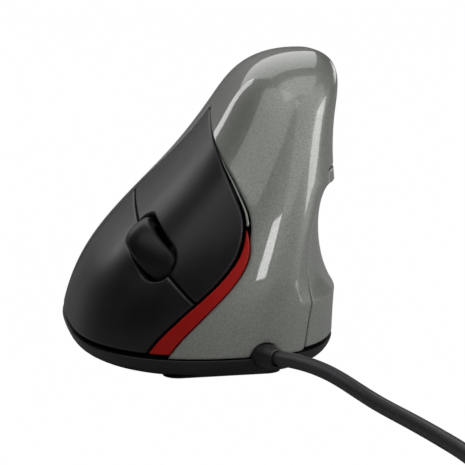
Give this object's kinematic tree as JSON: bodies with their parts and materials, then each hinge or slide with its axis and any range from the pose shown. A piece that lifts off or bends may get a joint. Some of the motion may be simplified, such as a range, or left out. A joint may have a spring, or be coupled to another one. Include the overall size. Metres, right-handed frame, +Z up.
{
  "type": "computer mouse",
  "caption": "Vertical ergonomic wired mouse: gray fin-shaped shell, two black finger keys with a scroll wheel, red trim, thumb scoop, cable with plug.",
  "frame": {"origin": "middle of the footprint, on the desk surface under the glide feet", "axes": "+Z up, +Y to the back (palm end), -Y to the cable end, +X to the thumb side, -X to the keys"},
  "size_m": [0.129, 0.2156, 0.0785],
  "materials": {
    "metal_gray": "clear-coated metallic gray paint over moulded plastic, fine flake",
    "soft_black": "soft-touch black coating, satin",
    "base_black": "fine-textured black",
    "trim_red": "satin red",
    "tyre_rubber": "soft rubber, satin",
    "black_plastic": "moulded black",
    "encoder_plastic": "brown moulded",
    "steel": "nickel-plated steel",
    "circuit_board": "green solder mask",
    "switch_black": "moulded black",
    "plunger_white": "white moulded",
    "clear_lens": "clear moulded acrylic",
    "led_red": "clear red",
    "part_cans": "cans and chips",
    "ribbon_film": "white film",
    "cable_jacket": "soft vinyl jacket, satin",
    "plug_mould": "moulded vinyl, satin",
    "glide_pad": "low-friction pad"
  },
  "bodies": {
    "case": {"base_shell": "base_black", "main_shell": "metal_gray", "thumb_panel": "metal_gray", "rear_side_panel": "soft_black", "red_trim": "trim_red", "edge_lip": "metal_gray", "carriage_spring": "steel", "chassis": "black_plastic", "key_board": "circuit_board", "upper_switch": "switch_black", "lower_switch": "switch_black", "wheel_switch": "switch_black", "thumb_board": "circuit_board", "thumb_switches": "switch_black", "main_board": "circuit_board", "sensor_chip": "switch_black", "sensor_lens": "clear_lens", "sensor_led": "led_red", "led_clip": "black_plastic", "controller_chip": "switch_black", "board_parts": "part_cans", "board_ribbon": "ribbon_film", "cable_socket": "plunger_white", "inner_lead": "cable_jacket", "cable_grommet": "black_plastic", "case_screws": "steel", "board_screws": "steel", "glide_feet": "glide_pad", "cable": "cable_jacket", "cable_coil": "cable_jacket", "coil_tie": "black_plastic", "usb_mould": "plug_mould", "usb_shell": "steel", "usb_tongue": "plunger_white"},
    "upper_key": {"upper_key": "soft_black"},
    "lower_key": {"lower_key": "soft_black"},
    "upper_plunger": {"upper_plunger": "plunger_white"},
    "lower_plunger": {"lower_plunger": "plunger_white"},
    "wheel_carriage": {"wheel_carriage": "black_plastic", "wheel_encoder": "encoder_plastic"},
    "wheel": {"wheel_tyre": "tyre_rubber", "wheel_hub": "black_plastic"},
    "wheel_plunger": {"wheel_plunger": "plunger_white"},
    "front_thumb_button": {"front_thumb_button": "soft_black"},
    "rear_thumb_button": {"rear_thumb_button": "soft_black"},
    "front_thumb_plunger": {"front_thumb_plunger": "plunger_white"},
    "rear_thumb_plunger": {"rear_thumb_plunger": "plunger_white"}
  },
  "joints": [
    {"name": "upper_key_press", "type": "hinge", "parent": "case", "child": "upper_key", "pos_m": [-0.01262, 0.01434, 0.03789], "axis": [0.6755, -0.1622, 0.7193], "range_deg": [0, 0.6], "stiffness_Nm_per_rad": 1.4, "springref_deg": -0.69},
    {"name": "upper_plunger_travel", "type": "slide", "parent": "case", "child": "upper_plunger", "axis": [0.731, 0.2753, -0.6244], "range_m": [0, 0.0006]},
    {"name": "lower_key_press", "type": "hinge", "parent": "case", "child": "lower_key", "pos_m": [-0.01262, 0.01434, 0.03789], "axis": [0.6755, -0.1622, 0.7193], "range_deg": [0, 0.6], "stiffness_Nm_per_rad": 1.4, "springref_deg": -0.69},
    {"name": "lower_plunger_travel", "type": "slide", "parent": "case", "child": "lower_plunger", "axis": [0.731, 0.2753, -0.6244], "range_m": [0, 0.0006]},
    {"name": "wheel_press", "type": "slide", "parent": "case", "child": "wheel_carriage", "axis": [0.731, 0.2753, -0.6244], "range_m": [0, 0.0005], "stiffness_N_per_m": 900, "springref_m": -0.0003},
    {"name": "wheel_plunger_travel", "type": "slide", "parent": "case", "child": "wheel_plunger", "axis": [0.731, 0.2753, -0.6244], "range_m": [0, 0.0005]},
    {"name": "wheel_spin", "type": "hinge", "parent": "wheel_carriage", "child": "wheel", "pos_m": [-0.01151, -0.02854, 0.02718], "axis": [0.6755, -0.1622, 0.7193], "continuous": true},
    {"name": "front_thumb_press", "type": "slide", "parent": "case", "child": "front_thumb_button", "axis": [-1, 0, 0], "range_m": [0, 0.0007], "stiffness_N_per_m": 900, "springref_m": -0.0003},
    {"name": "front_thumb_plunger_travel", "type": "slide", "parent": "case", "child": "front_thumb_plunger", "axis": [-1, 0, 0], "range_m": [0, 0.0007]},
    {"name": "rear_thumb_press", "type": "slide", "parent": "case", "child": "rear_thumb_button", "axis": [-1, 0, 0], "range_m": [0, 0.0007], "stiffness_N_per_m": 900, "springref_m": -0.0003},
    {"name": "rear_thumb_plunger_travel", "type": "slide", "parent": "case", "child": "rear_thumb_plunger", "axis": [-1, 0, 0], "range_m": [0, 0.0007]}
  ],
  "couplings": [
    {"joint": "upper_plunger_travel", "follows": "upper_key_press", "m_per_rad": 0.046},
    {"joint": "lower_plunger_travel", "follows": "lower_key_press", "m_per_rad": 0.046},
    {"joint": "wheel_plunger_travel", "follows": "wheel_press", "ratio": 1},
    {"joint": "front_thumb_plunger_travel", "follows": "front_thumb_press", "ratio": 1},
    {"joint": "rear_thumb_plunger_travel", "follows": "rear_thumb_press", "ratio": 1}
  ]
}
